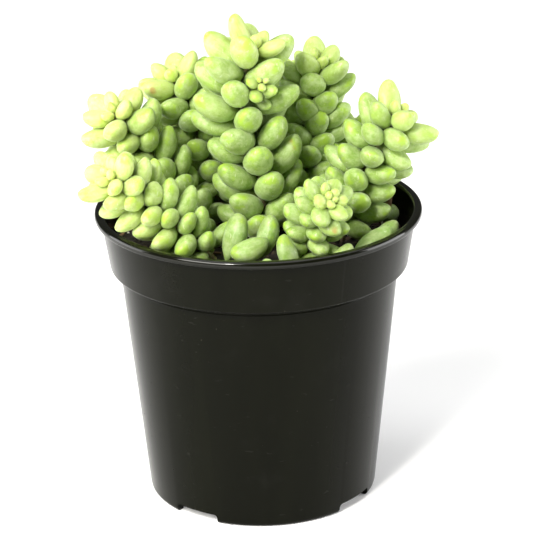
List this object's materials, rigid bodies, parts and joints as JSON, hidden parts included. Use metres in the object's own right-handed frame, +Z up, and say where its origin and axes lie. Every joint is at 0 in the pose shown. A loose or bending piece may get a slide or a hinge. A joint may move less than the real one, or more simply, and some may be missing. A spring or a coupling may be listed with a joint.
{
  "type": "potted burro's tail plant",
  "caption": "Burro's tail succulent with plump pale green leaves on trailing stems, growing in a round black plastic nursery pot.",
  "frame": {"origin": "middle of the flat underside of the pot, on the surface it stands on", "axes": "+Z up along the pot's axis; -Y is the side with the short pale front tail and the loose leaves; +X is the side of the single tail that leans out"},
  "size_m": [0.115, 0.108, 0.1643],
  "materials": {
    "pot_plastic": "black satin, injection moulded",
    "potting_soil": "dark peat and bark mix, crumbly",
    "leaf_green": "waxy leaf with pale bloom",
    "perlite_white": "rough off-white grain"
  },
  "bodies": {
    "root": {"pot": "pot_plastic", "soil": "potting_soil", "tail_centre": "leaf_green", "tail_front_left": "leaf_green", "tail_front_right": "leaf_green", "tail_left": "leaf_green", "tail_rear": "leaf_green", "tail_rear_left": "leaf_green", "tail_rear_low_left": "leaf_green", "tail_rear_low_right": "leaf_green", "tail_rear_right": "leaf_green", "tail_right": "leaf_green", "fallen_leaf_1": "leaf_green", "fallen_leaf_2": "leaf_green", "fallen_leaf_3": "leaf_green", "fallen_leaf_4": "leaf_green", "fallen_leaf_5": "leaf_green", "fallen_leaf_6": "leaf_green", "fallen_leaf_7": "leaf_green", "fallen_leaf_8": "leaf_green", "fallen_leaf_9": "leaf_green", "fallen_leaf_10": "leaf_green", "fallen_leaf_11": "leaf_green", "fallen_leaf_12": "leaf_green", "perlite_1": "perlite_white", "perlite_2": "perlite_white", "perlite_3": "perlite_white", "perlite_4": "perlite_white", "perlite_5": "perlite_white", "perlite_6": "perlite_white", "perlite_7": "perlite_white", "perlite_8": "perlite_white"}
  },
  "joints": []
}
